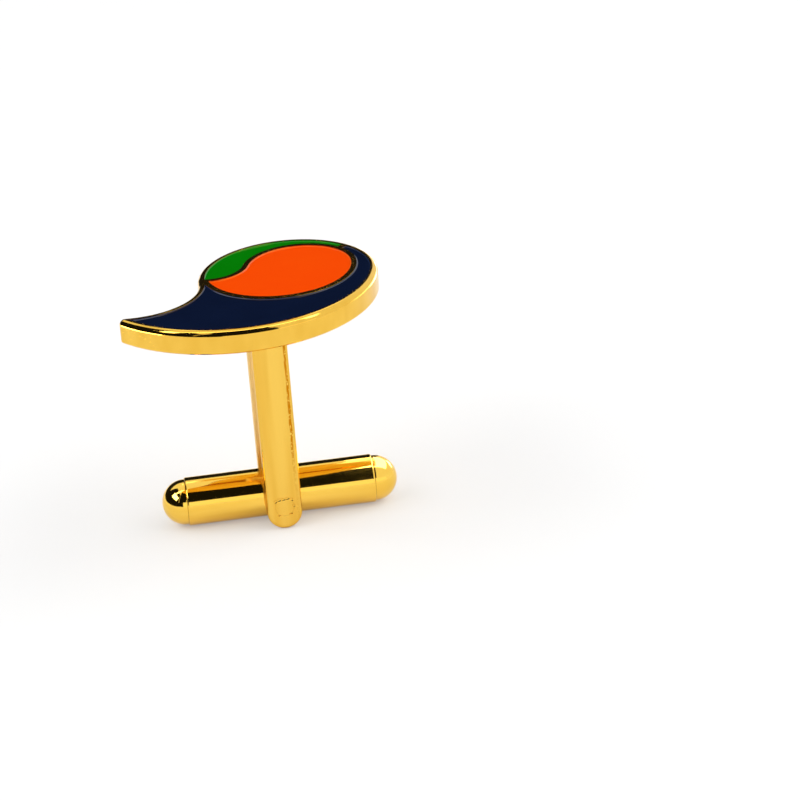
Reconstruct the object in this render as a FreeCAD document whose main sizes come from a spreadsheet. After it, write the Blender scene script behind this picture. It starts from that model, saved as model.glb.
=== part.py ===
import FreeCAD, Part
import math
import os
import Sketcher

# A bullet-back cufflink: an enamelled drop-shaped face on a forked post, with a swivelling toggle bar.
# X runs along the toggle bar, Y along the pivot pin, Z up through the face. The part stands on z = 0.
SIZES = {
    "face_length": 22.6,
    "face_width": 18.7,
    "face_shift": 1.33,
    "face_thickness": 2.0,
    "body_radius": 7.5,
    "tip_rise": 6.0,
    "hollow_share": 0.68,
    "tip_round": 0.5,
    "top_bevel": 0.3,
    "back_bevel": 0.12,
    "rim_width": 0.6,
    "divider_width": 0.45,
    "cell_depth": 0.6,
    "enamel_drop": 0.1,
    "seed_share": 0.63,
    "seed_shift_share": 0.75,
    "seed_hollow_share": 0.98,
    "seed_tip_gap": 0.3,
    "pivot_to_face": 16.9,
    "prong_width": 2.95,
    "prong_thickness": 1.45,
    "prong_edge_round": 0.4,
    "bridge_thickness": 1.2,
    "braze_reach": 0.5,
    "braze_height": 0.55,
    "braze_slope_share": 0.8,
    "bar_diameter": 4.1,
    "bar_side_gap": 0.05,
    "barrel_length": 15.96,
    "barrel_wall": 0.6,
    "barrel_edge_round": 0.14,
    "cap_step": 0.13,
    "cap_neck": 0.1,
    "plug_length": 1.8,
    "pin_share": 0.39,
    "pin_running_gap": 0.03,
    "pin_end_bevel": 0.06,
    "spring_thickness": 0.2,
    "spring_width_share": 1.0,
    "spring_pin_gap": 0.02,
    "spring_end_gap": 0.38,
}

UPWARDS = FreeCAD.Vector(0, 0, 1)
START, END, CENTRE = 1, 2, 3
ORIGIN = (-1, 1)
ALONG_X_AXIS = -1
LEAST_LEFT_SHARE = 0.5
CLOSE = 1e-4


class Size:
    # A length with the formula that ties it to the sheet, so each sum is written once.
    def __init__(self, value, text):
        self.value = value
        self.text = text

    def join(self, other, sign, value):
        text = other.text if isinstance(other, Size) else repr(other)
        return Size(value, f"({self.text} {sign} {text})")

    def __add__(self, other):
        return self.join(other, "+", self.value + number(other))

    def __sub__(self, other):
        return self.join(other, "-", self.value - number(other))

    def __mul__(self, other):
        return self.join(other, "*", self.value * number(other))

    def __truediv__(self, other):
        return self.join(other, "/", self.value / number(other))

    def root(self):
        return Size(math.sqrt(self.value), f"sqrt({self.text})")


def number(item):
    return item.value if isinstance(item, Size) else item


doc = FreeCAD.newDocument("cufflink")
sheet = doc.addObject("Spreadsheet::Sheet", "Sizes")
for row, (alias, value) in enumerate(SIZES.items(), start=1):
    sheet.set(f"A{row}", alias)
    sheet.set(f"B{row}", str(value))
    sheet.setAlias(f"B{row}", alias)
doc.recompute()
size = {alias: Size(value, f"Sizes.{alias}") for alias, value in SIZES.items()}

pivot_height = size["bar_diameter"] / 2
face_back = pivot_height + size["pivot_to_face"]
cell_floor = size["face_thickness"] - size["cell_depth"]
body_x = size["face_length"] / 2 - size["body_radius"] - size["face_shift"]
body_y = size["face_width"] / 2 - size["body_radius"]
bar_radius = size["bar_diameter"] / 2
bore_radius = bar_radius - size["barrel_wall"]
pin_radius = bar_radius * size["pin_share"]
half_prong = size["prong_width"] / 2
fork_gap = size["bar_side_gap"] * 2 + size["bar_diameter"]
fork_depth = size["prong_thickness"] * 2 + fork_gap
nothing = Size(0, "0")


def new_body(name):
    body = doc.addObject("PartDesign::Body", name)
    body.Label = name
    return body


def new_sketch(body, name, role="XY_Plane", height=None):
    sketch = body.newObject("Sketcher::SketchObject", name)
    plane = next(item for item in body.Origin.OriginFeatures if item.Role == role)
    sketch.AttachmentSupport = [(plane, "")]
    sketch.MapMode = "FlatFace"
    if height is not None:
        sketch.setExpression("AttachmentOffset.Base.z", height.text)
    return sketch


def bind(item, prop, length):
    setattr(item, prop, length.value)
    item.setExpression(prop, length.text)


def fix(sketch, kind, refs, length):
    index = sketch.addConstraint(Sketcher.Constraint(kind, *refs, length.value))
    sketch.setExpression(f"Constraints[{index}]", length.text)


def line(sketch, start, end):
    ends = [FreeCAD.Vector(number(x), number(y), 0) for x, y in (start, end)]
    return sketch.addGeometry(Part.LineSegment(*ends))


def arc(sketch, centre, radius, start, end):
    circle = Part.Circle(FreeCAD.Vector(*centre, 0), UPWARDS, radius)
    angles = [math.atan2(y - centre[1], x - centre[0]) for x, y in (start, end)]
    return sketch.addGeometry(Part.ArcOfCircle(circle, *angles))


def circle_on(sketch, radius):
    ring = sketch.addGeometry(Part.Circle(FreeCAD.Vector(), UPWARDS, radius.value))
    sketch.addConstraint(Sketcher.Constraint("Coincident", ring, CENTRE, *ORIGIN))
    fix(sketch, "Radius", (ring,), radius)


def polygon(sketch, corners):
    # Straight sides through corners that are given as pairs of lengths from the sketch origin.
    sides = [line(sketch, a, b) for a, b in zip(corners, corners[1:] + corners[:1])]
    for side, following in zip(sides, sides[1:] + sides[:1]):
        sketch.addConstraint(Sketcher.Constraint("Coincident", side, END, following, START))
    for side, corner in zip(sides, corners):
        fix(sketch, "DistanceX", (*ORIGIN, side, START), corner[0])
        fix(sketch, "DistanceY", (*ORIGIN, side, START), corner[1])


def minus(length):
    return nothing - length


def pad(body, sketch, length, both_ways=False):
    feature = body.newObject("PartDesign::Pad", sketch.Name + "_pad")
    feature.Profile = sketch
    feature.Midplane = both_ways
    bind(feature, "Length", length)
    doc.recompute()
    return feature


def pocket(body, sketch, length, both_ways=False):
    before = body.Shape.Volume
    feature = body.newObject("PartDesign::Pocket", sketch.Name + "_pocket")
    feature.Profile = sketch
    feature.Midplane = both_ways
    bind(feature, "Length", length)
    doc.recompute()
    if body.Shape.Volume >= before:
        raise RuntimeError(f"{feature.Name} removes nothing")
    return feature


def ease(body, kind, prop, length, wanted):
    # Rounds or bevels the edges of the newest feature that the wanted test picks.
    base = body.Tip
    edges = [f"Edge{n}" for n, edge in enumerate(base.Shape.Edges, start=1) if wanted(edge)]
    if not edges:
        raise RuntimeError(f"no edge to ease on {body.Label}")
    before = body.Shape.Volume
    feature = body.newObject("PartDesign::" + kind, f"{body.Name}_{kind}_{prop}")
    feature.Base = (base, edges)
    bind(feature, prop, length)
    doc.recompute()
    if not LEAST_LEFT_SHARE * before < body.Shape.Volume < before:
        raise RuntimeError(f"{feature.Name} fails")
    return feature


def near(a, b):
    return abs(a - b) < CLOSE


def flat_at(edge, axis, level):
    box = edge.BoundBox
    low = getattr(box, axis + "Min")
    high = getattr(box, axis + "Max")
    return near(low, level) and near(high, level)


def meet(first, first_radius, second, second_radius, wanted):
    # The crossing of two circles that scores highest on the wanted test.
    gap_x, gap_y = second[0] - first[0], second[1] - first[1]
    gap = math.hypot(gap_x, gap_y)
    along = (first_radius ** 2 - second_radius ** 2 + gap ** 2) / (2 * gap)
    across = math.sqrt(first_radius ** 2 - along ** 2)
    ways = (gap_x / gap, gap_y / gap)
    foot = (first[0] + along * ways[0], first[1] + along * ways[1])
    step = (-across * ways[1], across * ways[0])
    crossings = [(foot[0] + side * step[0], foot[1] + side * step[1]) for side in (1, -1)]
    return max(crossings, key=wanted)


def towards(start, goal, distance):
    gap = math.hypot(goal[0] - start[0], goal[1] - start[1])
    return tuple(a + distance * (b - a) / gap for a, b in zip(start, goal))


def drop_places(drop):
    # Centres of the drop's round body, outer arc and hollow arc, and its tip.
    body_mid = (drop["x"].value, drop["y"].value)
    round_body, outer, hollow = drop["round"].value, drop["outer"].value, drop["hollow"].value
    lift = drop["lift"].value
    outer_mid = (body_mid[0] - math.sqrt((outer - round_body) ** 2 - lift ** 2), body_mid[1] + lift)
    tip_x = body_mid[0] - drop["reach"].value
    tip = (tip_x, outer_mid[1] - math.sqrt(outer ** 2 - (tip_x - outer_mid[0]) ** 2))
    hollow_mid = meet(tip, hollow, body_mid, round_body + hollow, lambda p: p[1] - p[0])
    return body_mid, outer_mid, hollow_mid, tip


def drop_sketch(body, name, drop, height=None, inset=nothing):
    # A paisley drop of three tangent arcs, drawn inside or outside its own outline by the inset.
    sketch = new_sketch(body, name, height=height)
    body_mid, outer_mid, hollow_mid, tip = drop_places(drop)
    round_body = drop["round"] - inset
    outer = drop["outer"] - inset
    hollow = drop["hollow"] + inset
    corner = meet(outer_mid, outer.value, hollow_mid, hollow.value, lambda p: -math.dist(p, tip))
    outer_end = towards(outer_mid, body_mid, outer.value)
    hollow_end = towards(body_mid, hollow_mid, round_body.value)
    outer_arc = arc(sketch, outer_mid, outer.value, corner, outer_end)
    body_arc = arc(sketch, body_mid, round_body.value, outer_end, hollow_end)
    hollow_arc = arc(sketch, hollow_mid, hollow.value, corner, hollow_end)
    point = sketch.addGeometry(Part.Point(FreeCAD.Vector(*tip, 0)), True)
    sketch.addConstraint(Sketcher.Constraint("Tangent", outer_arc, END, body_arc, START))
    sketch.addConstraint(Sketcher.Constraint("Tangent", body_arc, END, hollow_arc, END))
    sketch.addConstraint(Sketcher.Constraint("Coincident", hollow_arc, START, outer_arc, START))
    fix(sketch, "DistanceX", (*ORIGIN, body_arc, CENTRE), drop["x"])
    fix(sketch, "DistanceY", (*ORIGIN, body_arc, CENTRE), drop["y"])
    fix(sketch, "DistanceY", (*ORIGIN, outer_arc, CENTRE), drop["y"] + drop["lift"])
    fix(sketch, "Radius", (body_arc,), round_body)
    fix(sketch, "Radius", (outer_arc,), outer)
    fix(sketch, "Radius", (hollow_arc,), hollow)
    fix(sketch, "DistanceX", (point, START, *ORIGIN), drop["reach"] - drop["x"])
    fix(sketch, "Distance", (point, START, outer_arc, CENTRE), drop["outer"])
    fix(sketch, "Distance", (point, START, hollow_arc, CENTRE), drop["hollow"])
    return sketch


def found(value):
    return Size(value, repr(value))


# The outer arc touches the front line, runs into the round body and ends in the tip, a rise above that line.
reach = size["face_length"] - size["body_radius"]
spare_width = size["face_width"] - size["body_radius"] * 2
rise = size["tip_rise"]
span = reach * reach + spare_width * (size["face_width"] - rise)
slope = reach * rise.root() + (reach * reach * rise + (spare_width - rise) * span).root()
outer_radius = (span * span / (slope * slope) + rise) / 2
tip_fall = size["face_width"] - size["body_radius"] - rise
tail_length = (reach * reach + tip_fall * tip_fall).root() - size["body_radius"]
outline_drop = {
    "x": body_x,
    "y": body_y,
    "round": size["body_radius"],
    "outer": outer_radius,
    "hollow": tail_length * size["hollow_share"],
    "lift": outer_radius + size["body_radius"] - size["face_width"],
    "reach": reach,
}
*_, HOLLOW_MID, TIP = drop_places(outline_drop)

# The seed sits off the body's middle, towards the far rim, and its tip ends just short of the hollow rim.
SEED_TURN = math.radians(45)
TIP_TURN = math.radians(-2.5)
field_radius = size["body_radius"] - size["rim_width"]
seed_radius = field_radius * size["seed_share"]
seed_shift = (field_radius - seed_radius - size["divider_width"]) * size["seed_shift_share"]
seed_x = body_x + seed_shift * math.cos(SEED_TURN)
seed_y = body_y + seed_shift * math.sin(SEED_TURN)
tip_ring = (outline_drop["hollow"] + size["rim_width"] + size["seed_tip_gap"]).value
tip_down = seed_y.value - HOLLOW_MID[1] - tip_ring * math.sin(TIP_TURN)
tip_left = seed_x.value - HOLLOW_MID[0] - tip_ring * math.cos(TIP_TURN)
seed_span = tip_left + seed_radius.value
seed_tail = math.hypot(tip_left, tip_down) - seed_radius.value
seed_drop = {
    "x": seed_x,
    "y": seed_y,
    "round": seed_radius,
    "outer": found((seed_span ** 2 + tip_down ** 2) / (2 * seed_span)),
    "hollow": size["seed_hollow_share"] * seed_tail,
    "lift": nothing,
    "reach": found(tip_left),
}
SEED_MID, _, SEED_HOLLOW_MID, SEED_TIP = drop_places(seed_drop)
seed_wall = minus(size["divider_width"])

# Struck blank of the face, eased at the tip, along the top edge and along the back edge.
face_blank = new_body("face_blank")
pad(face_blank, drop_sketch(face_blank, "face_outline", outline_drop), size["face_thickness"])
ease(face_blank, "Fillet", "Radius", size["tip_round"],
     lambda edge: near(edge.BoundBox.XMin, TIP[0]) and near(edge.BoundBox.XMax, TIP[0]))
ease(face_blank, "Chamfer", "Size", size["top_bevel"],
     lambda edge: flat_at(edge, "Z", SIZES["face_thickness"]))
ease(face_blank, "Chamfer", "Size", size["back_bevel"], lambda edge: flat_at(edge, "Z", 0))

# The side cells part along the seed's middle: by a short bar at the far rim and another at the seed's tip.
BAR_TURN = math.radians(38)
TAIL_TURN = math.radians(-40)
TAIL_REACH_SHARE = 1.3
tail_reach = seed_drop["hollow"].value * TAIL_REACH_SHARE
SEED_TAIL = (SEED_HOLLOW_MID[0] + tail_reach * math.cos(TAIL_TURN),
             SEED_HOLLOW_MID[1] + tail_reach * math.sin(TAIL_TURN))


def parting(front_side):
    # Corners round all that lies on one side of the parting line, half a divider clear of its bars.
    side = 1 if front_side else -1
    half = side * SIZES["divider_width"] / 2
    wide = SIZES["face_length"]
    bar_way = (math.cos(BAR_TURN), math.sin(BAR_TURN))
    bar_start = (SEED_MID[0] + half * bar_way[1], SEED_MID[1] - half * bar_way[0])
    bar_end = (bar_start[0] + wide * bar_way[0], bar_start[1] + wide * bar_way[1])
    gap = math.dist(HOLLOW_MID, SEED_TIP)
    out_way = tuple((a - b) / gap for a, b in zip(HOLLOW_MID, SEED_TIP))
    tip_start = (SEED_TIP[0] - half * out_way[1], SEED_TIP[1] + half * out_way[0])
    tip_end = (tip_start[0] + wide * out_way[0], tip_start[1] + wide * out_way[1])
    far_corners = [(-wide, side * wide), (wide, side * wide)]
    corners = [bar_end, bar_start, SEED_TAIL, tip_start, tip_end] + far_corners
    return [(found(x), found(y)) for x, y in corners]


def seed_cell(name, height):
    body = new_body(name)
    pad(body, drop_sketch(body, name + "_seed", seed_drop), height)
    return body


def side_cell(name, height, front_side):
    body = new_body(name)
    pad(body, drop_sketch(body, name + "_field", outline_drop, inset=size["rim_width"]), height)
    pocket(body, drop_sketch(body, name + "_seed", seed_drop, height, seed_wall), height)
    other_side = new_sketch(body, name + "_other_side", height=height)
    polygon(other_side, parting(front_side))
    pocket(body, other_side, height)
    return body


# Cells that the die leaves open in the face, and the glossy enamel in them, a little lower than the rim.
tool_height = size["cell_depth"] * 2
seed_tool = seed_cell("seed_tool", tool_height)
front_tool = side_cell("front_tool", tool_height, front_side=True)
back_tool = side_cell("back_tool", tool_height, front_side=False)
enamel_thickness = size["cell_depth"] - size["enamel_drop"]
enamel_orange = seed_cell("enamel_orange", enamel_thickness)
enamel_navy = side_cell("enamel_navy", enamel_thickness, front_side=True)
enamel_green = side_cell("enamel_green", enamel_thickness, front_side=False)

# Forked post: a strap outline seen from the front, slotted from the side, with crowned outer edges.
post_fork = new_body("post_fork")
strap = new_sketch(post_fork, "strap", "XZ_Plane")
end_level = pivot_height - half_prong
side_low, side_high = -end_level.value, SIZES["pivot_to_face"]
left_side = line(strap, (-half_prong.value, side_high), (-half_prong.value, side_low))
round_end = strap.addGeometry(Part.ArcOfCircle(
    Part.Circle(FreeCAD.Vector(0, side_low, 0), UPWARDS, half_prong.value), math.pi, 2 * math.pi))
right_side = line(strap, (half_prong.value, side_low), (half_prong.value, side_high))
top_side = line(strap, (half_prong.value, side_high), (-half_prong.value, side_high))
strap.addConstraint(Sketcher.Constraint("Tangent", left_side, END, round_end, START))
strap.addConstraint(Sketcher.Constraint("Tangent", round_end, END, right_side, START))
strap.addConstraint(Sketcher.Constraint("Coincident", right_side, END, top_side, START))
strap.addConstraint(Sketcher.Constraint("Coincident", top_side, END, left_side, START))
strap.addConstraint(Sketcher.Constraint("Vertical", left_side))
strap.addConstraint(Sketcher.Constraint("Horizontal", top_side))
fix(strap, "Radius", (round_end,), half_prong)
fix(strap, "DistanceX", (round_end, START, *ORIGIN), half_prong)
fix(strap, "DistanceY", (round_end, CENTRE, *ORIGIN), end_level)
fix(strap, "DistanceY", (*ORIGIN, top_side, START), size["pivot_to_face"])
pad(post_fork, strap, fork_depth, both_ways=True)
slot = new_sketch(post_fork, "slot", "YZ_Plane")
slot_low = pivot_height * 2
slot_bend = size["pivot_to_face"] - size["bridge_thickness"] - fork_gap / 2
half_gap = fork_gap / 2
front_wall = line(slot, (-half_gap.value, slot_bend.value), (-half_gap.value, -slot_low.value))
open_end = line(slot, (-half_gap.value, -slot_low.value), (half_gap.value, -slot_low.value))
back_wall = line(slot, (half_gap.value, -slot_low.value), (half_gap.value, slot_bend.value))
bend = slot.addGeometry(Part.ArcOfCircle(
    Part.Circle(FreeCAD.Vector(0, slot_bend.value, 0), UPWARDS, half_gap.value), 0, math.pi))
slot.addConstraint(Sketcher.Constraint("Coincident", front_wall, END, open_end, START))
slot.addConstraint(Sketcher.Constraint("Coincident", open_end, END, back_wall, START))
slot.addConstraint(Sketcher.Constraint("Tangent", back_wall, END, bend, START))
slot.addConstraint(Sketcher.Constraint("Tangent", bend, END, front_wall, START))
slot.addConstraint(Sketcher.Constraint("Horizontal", open_end))
slot.addConstraint(Sketcher.Constraint("Vertical", back_wall))
fix(slot, "Radius", (bend,), half_gap)
fix(slot, "DistanceX", (*ORIGIN, bend, START), half_gap)
fix(slot, "DistanceY", (*ORIGIN, bend, CENTRE), slot_bend)
fix(slot, "DistanceY", (open_end, START, *ORIGIN), slot_low)
pocket(post_fork, slot, size["prong_width"] * 2, both_ways=True)
OUTER_FACE = fork_depth.value / 2


def outer_edge(edge):
    level = flat_at(edge, "Y", OUTER_FACE) or flat_at(edge, "Y", -OUTER_FACE)
    return level and not flat_at(edge, "Z", SIZES["pivot_to_face"])


ease(post_fork, "Fillet", "Radius", size["prong_edge_round"], outer_edge)
pivot_hole = new_sketch(post_fork, "pivot_hole", "XZ_Plane")
circle_on(pivot_hole, pin_radius)
pocket(post_fork, pivot_hole, fork_depth * 2, both_ways=True)

# Brazing fillet that holds the fork's foot to the back of the face.
foot_braze = new_body("foot_braze")
collar = new_sketch(foot_braze, "collar")
half_foot_y = fork_depth / 2


def round_box(sketch, half_x, half_y, corner):
    x, y, c = half_x.value, half_y.value, corner.value
    low = line(sketch, (c - x, -y), (x - c, -y))
    low_right = arc(sketch, (x - c, c - y), c, (x - c, -y), (x, c - y))
    right = line(sketch, (x, c - y), (x, y - c))
    high_right = arc(sketch, (x - c, y - c), c, (x, y - c), (x - c, y))
    high = line(sketch, (x - c, y), (c - x, y))
    high_left = arc(sketch, (c - x, y - c), c, (c - x, y), (-x, y - c))
    left = line(sketch, (-x, y - c), (-x, c - y))
    low_left = arc(sketch, (c - x, c - y), c, (-x, c - y), (c - x, -y))
    loop = [low, low_right, right, high_right, high, high_left, left, low_left]
    for side, following in zip(loop, loop[1:] + loop[:1]):
        sketch.addConstraint(Sketcher.Constraint("Tangent", side, END, following, START))
    for side in (low_right, high_right, high_left, low_left):
        fix(sketch, "Radius", (side,), corner)
    sketch.addConstraint(Sketcher.Constraint("Horizontal", low))
    fix(sketch, "DistanceX", (*ORIGIN, right, START), half_x)
    fix(sketch, "DistanceX", (left, START, *ORIGIN), half_x)
    fix(sketch, "DistanceY", (*ORIGIN, high, START), half_y)
    fix(sketch, "DistanceY", (low, START, *ORIGIN), half_y)


round_box(collar, half_prong + size["braze_reach"], half_foot_y + size["braze_reach"],
          size["prong_edge_round"] + size["braze_reach"])
round_box(collar, half_prong, half_foot_y, size["prong_edge_round"])
pad(foot_braze, collar, size["braze_height"])
BRAZE_X = (half_prong + size["braze_reach"]).value
BRAZE_Y = (half_foot_y + size["braze_reach"]).value


def braze_edge(edge):
    box = edge.BoundBox
    reach_x = max(abs(box.XMin), abs(box.XMax))
    reach_y = max(abs(box.YMin), abs(box.YMax))
    outside = near(reach_x, BRAZE_X) or near(reach_y, BRAZE_Y)
    return outside and flat_at(edge, "Z", 0)


ease(foot_braze, "Chamfer", "Size", size["braze_reach"] * size["braze_slope_share"], braze_edge)

# Toggle: a barrel on the pin between the prongs, plugged by a domed cap at each end.
toggle_barrel = new_body("toggle_barrel")
tube = new_sketch(toggle_barrel, "tube", "YZ_Plane")
circle_on(tube, bar_radius)
circle_on(tube, bore_radius)
pad(toggle_barrel, tube, size["barrel_length"], both_ways=True)
BAR_RADIUS = bar_radius.value
ease(toggle_barrel, "Fillet", "Radius", size["barrel_edge_round"],
     lambda edge: near(edge.BoundBox.ZMax, BAR_RADIUS) and near(edge.BoundBox.XMin, edge.BoundBox.XMax))
cross_hole = new_sketch(toggle_barrel, "cross_hole", "XZ_Plane")
circle_on(cross_hole, pin_radius + size["pin_running_gap"])
pocket(toggle_barrel, cross_hole, size["bar_diameter"] * 2, both_ways=True)


def toggle_cap(name):
    body = new_body(name)
    profile = new_sketch(body, name + "_profile", "XZ_Plane")
    dome = bar_radius - size["cap_step"]
    neck = size["cap_neck"]
    cap_length = neck + dome
    plug_start = -SIZES["plug_length"]
    dome_top = (cap_length.value, 0)
    dome_foot = (neck.value, dome.value)
    bore = bore_radius.value
    places = [(plug_start, 0), (plug_start, bore), (0, bore), (0, dome.value), dome_foot]
    sides = [line(profile, a, b) for a, b in zip(places, places[1:])]
    crown = arc(profile, (neck.value, 0), dome.value, dome_top, dome_foot)
    axis = line(profile, dome_top, places[0])
    plug_end, plug_side, shoulder, neck_side = sides
    for first, second in zip(sides, sides[1:]):
        profile.addConstraint(Sketcher.Constraint("Coincident", first, END, second, START))
    profile.addConstraint(Sketcher.Constraint("Tangent", neck_side, END, crown, END))
    profile.addConstraint(Sketcher.Constraint("Coincident", crown, START, axis, START))
    profile.addConstraint(Sketcher.Constraint("Coincident", axis, END, plug_end, START))
    profile.addConstraint(Sketcher.Constraint("PointOnObject", plug_end, START, ALONG_X_AXIS))
    profile.addConstraint(Sketcher.Constraint("PointOnObject", crown, START, ALONG_X_AXIS))
    profile.addConstraint(Sketcher.Constraint("Vertical", plug_end))
    profile.addConstraint(Sketcher.Constraint("Horizontal", plug_side))
    profile.addConstraint(Sketcher.Constraint("Vertical", shoulder))
    profile.addConstraint(Sketcher.Constraint("Horizontal", neck_side))
    fix(profile, "DistanceX", (plug_end, START, *ORIGIN), size["plug_length"])
    fix(profile, "DistanceX", (*ORIGIN, shoulder, START), nothing)
    fix(profile, "DistanceY", (*ORIGIN, plug_side, START), bore_radius)
    fix(profile, "DistanceX", (*ORIGIN, crown, START), cap_length)
    fix(profile, "DistanceY", (*ORIGIN, neck_side, START), dome)
    fix(profile, "Radius", (crown,), dome)
    turned = body.newObject("PartDesign::Revolution", name + "_turned")
    turned.Profile = profile
    turned.ReferenceAxis = (profile, ["H_Axis"])
    turned.Angle = 360
    doc.recompute()
    return body


toggle_cap_right = toggle_cap("toggle_cap_right")
toggle_cap_left = toggle_cap("toggle_cap_left")

# Pivot pin, riveted flush in both prongs.
pivot_pin = new_body("pivot_pin")
shank = new_sketch(pivot_pin, "shank", "XZ_Plane")
circle_on(shank, pin_radius)
pad(pivot_pin, shank, fork_depth, both_ways=True)
ease(pivot_pin, "Chamfer", "Size", size["pin_end_bevel"],
     lambda edge: flat_at(edge, "Y", OUTER_FACE) or flat_at(edge, "Y", -OUTER_FACE))

# Hairpin spring inside the barrel: its two arms grip the pin, so the bar stays where it is turned.
friction_spring = new_body("friction_spring")
hairpin = new_sketch(friction_spring, "hairpin", "XZ_Plane")
grip = pin_radius + size["spring_pin_gap"]
back_of_arm = grip + size["spring_thickness"]
plug_end = size["barrel_length"] / 2 - size["plug_length"]
spring_arm = plug_end - size["spring_end_gap"] - back_of_arm
arm = spring_arm.value
inner, outside = grip.value, back_of_arm.value
high_inner = line(hairpin, (-arm, inner), (arm, inner))
inner_bend = arc(hairpin, (arm, 0), inner, (arm, -inner), (arm, inner))
low_inner = line(hairpin, (arm, -inner), (-arm, -inner))
low_end = line(hairpin, (-arm, -inner), (-arm, -outside))
low_outer = line(hairpin, (-arm, -outside), (arm, -outside))
outer_bend = arc(hairpin, (arm, 0), outside, (arm, -outside), (arm, outside))
high_outer = line(hairpin, (arm, outside), (-arm, outside))
high_end = line(hairpin, (-arm, outside), (-arm, inner))
hairpin.addConstraint(Sketcher.Constraint("Tangent", high_inner, END, inner_bend, END))
hairpin.addConstraint(Sketcher.Constraint("Tangent", inner_bend, START, low_inner, START))
hairpin.addConstraint(Sketcher.Constraint("Coincident", low_inner, END, low_end, START))
hairpin.addConstraint(Sketcher.Constraint("Coincident", low_end, END, low_outer, START))
hairpin.addConstraint(Sketcher.Constraint("Tangent", low_outer, END, outer_bend, START))
hairpin.addConstraint(Sketcher.Constraint("Tangent", outer_bend, END, high_outer, START))
hairpin.addConstraint(Sketcher.Constraint("Coincident", high_outer, END, high_end, START))
hairpin.addConstraint(Sketcher.Constraint("Coincident", high_end, END, high_inner, START))
hairpin.addConstraint(Sketcher.Constraint("Coincident", inner_bend, CENTRE, outer_bend, CENTRE))
hairpin.addConstraint(Sketcher.Constraint("PointOnObject", inner_bend, CENTRE, ALONG_X_AXIS))
hairpin.addConstraint(Sketcher.Constraint("Horizontal", high_inner))
hairpin.addConstraint(Sketcher.Constraint("Horizontal", low_inner))
hairpin.addConstraint(Sketcher.Constraint("Vertical", low_end))
hairpin.addConstraint(Sketcher.Constraint("Vertical", high_end))
fix(hairpin, "Radius", (inner_bend,), grip)
fix(hairpin, "Radius", (outer_bend,), back_of_arm)
fix(hairpin, "DistanceX", (*ORIGIN, inner_bend, CENTRE), spring_arm)
fix(hairpin, "DistanceX", (high_end, START, *ORIGIN), spring_arm)
fix(hairpin, "DistanceX", (low_end, START, *ORIGIN), spring_arm)
pad(friction_spring, hairpin, bore_radius * size["spring_width_share"], both_ways=True)

# Each piece goes to its place in the shared frame.
half_barrel = size["barrel_length"] / 2
enamel_level = face_back + cell_floor
PLACES = {
    face_blank: (None, face_back),
    seed_tool: (None, enamel_level),
    front_tool: (None, enamel_level),
    back_tool: (None, enamel_level),
    enamel_orange: (None, enamel_level),
    enamel_navy: (None, enamel_level),
    enamel_green: (None, enamel_level),
    post_fork: (None, pivot_height),
    foot_braze: (None, face_back - size["braze_height"]),
    pivot_pin: (None, pivot_height),
    toggle_barrel: (None, pivot_height),
    toggle_cap_right: (half_barrel, pivot_height),
    toggle_cap_left: (minus(half_barrel), pivot_height),
    friction_spring: (None, pivot_height),
}
toggle_cap_left.Placement = FreeCAD.Placement(FreeCAD.Vector(), FreeCAD.Rotation(UPWARDS, 180))
for body, (along, height) in PLACES.items():
    if along is not None:
        body.setExpression("Placement.Base.x", along.text)
    body.setExpression("Placement.Base.z", height.text)
doc.recompute()

# The face is the blank less its three cells.
face_plate = face_blank
for tool in (seed_tool, front_tool, back_tool):
    opened = doc.addObject("Part::Cut", "face_less_" + tool.Name)
    opened.Base = face_plate
    opened.Tool = tool
    face_plate = opened
face_plate.Label = "face_plate"
doc.recompute()

SUB_PARTS = [face_plate, enamel_orange, enamel_navy, enamel_green, post_fork, foot_braze, pivot_pin,
             toggle_barrel, toggle_cap_right, toggle_cap_left, friction_spring]
for item in doc.Objects:
    faults = [state for state in item.State if state in ("Invalid", "Error")]
    if faults:
        raise RuntimeError(f"{item.Label}: {faults}")
os.makedirs("parts", exist_ok=True)
for item in SUB_PARTS:
    shape = item.Shape
    if shape.isNull() or not shape.isValid() or len(shape.Solids) != 1:
        raise RuntimeError(f"{item.Label} is not one sound solid")
    box = shape.optimalBoundingBox()
    print(f"{item.Label}: {shape.Volume:.2f} mm3, x {box.XMin:.2f}..{box.XMax:.2f}, "
          f"y {box.YMin:.2f}..{box.YMax:.2f}, z {box.ZMin:.2f}..{box.ZMax:.2f}")
    shape.exportStep(f"parts/{item.Label}.step")
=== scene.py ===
import math
import bmesh
import bpy
from mathutils import Matrix, Vector


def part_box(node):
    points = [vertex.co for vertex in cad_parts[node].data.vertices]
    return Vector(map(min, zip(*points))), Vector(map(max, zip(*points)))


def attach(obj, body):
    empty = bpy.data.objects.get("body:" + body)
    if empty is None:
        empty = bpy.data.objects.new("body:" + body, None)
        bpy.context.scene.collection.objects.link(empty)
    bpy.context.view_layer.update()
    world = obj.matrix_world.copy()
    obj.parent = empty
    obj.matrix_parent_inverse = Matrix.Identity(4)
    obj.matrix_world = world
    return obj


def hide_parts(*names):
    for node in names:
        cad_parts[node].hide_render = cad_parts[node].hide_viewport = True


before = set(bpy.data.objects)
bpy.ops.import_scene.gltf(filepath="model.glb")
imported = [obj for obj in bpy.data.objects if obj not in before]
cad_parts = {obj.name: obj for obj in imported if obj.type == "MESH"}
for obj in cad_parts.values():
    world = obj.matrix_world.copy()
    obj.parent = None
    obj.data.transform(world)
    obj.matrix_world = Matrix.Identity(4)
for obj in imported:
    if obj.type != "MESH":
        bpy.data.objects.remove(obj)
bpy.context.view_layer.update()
scene = bpy.context.scene
scene.view_settings.view_transform = "Standard"
mm = 0.001
alongX = (0, math.pi / 2, 0)  # rotations that lay an upright rod along an axis
alongY = (math.pi / 2, 0, 0)
squareOn = 0.9  # a face whose normal has this much along an axis counts as square to it
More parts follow.
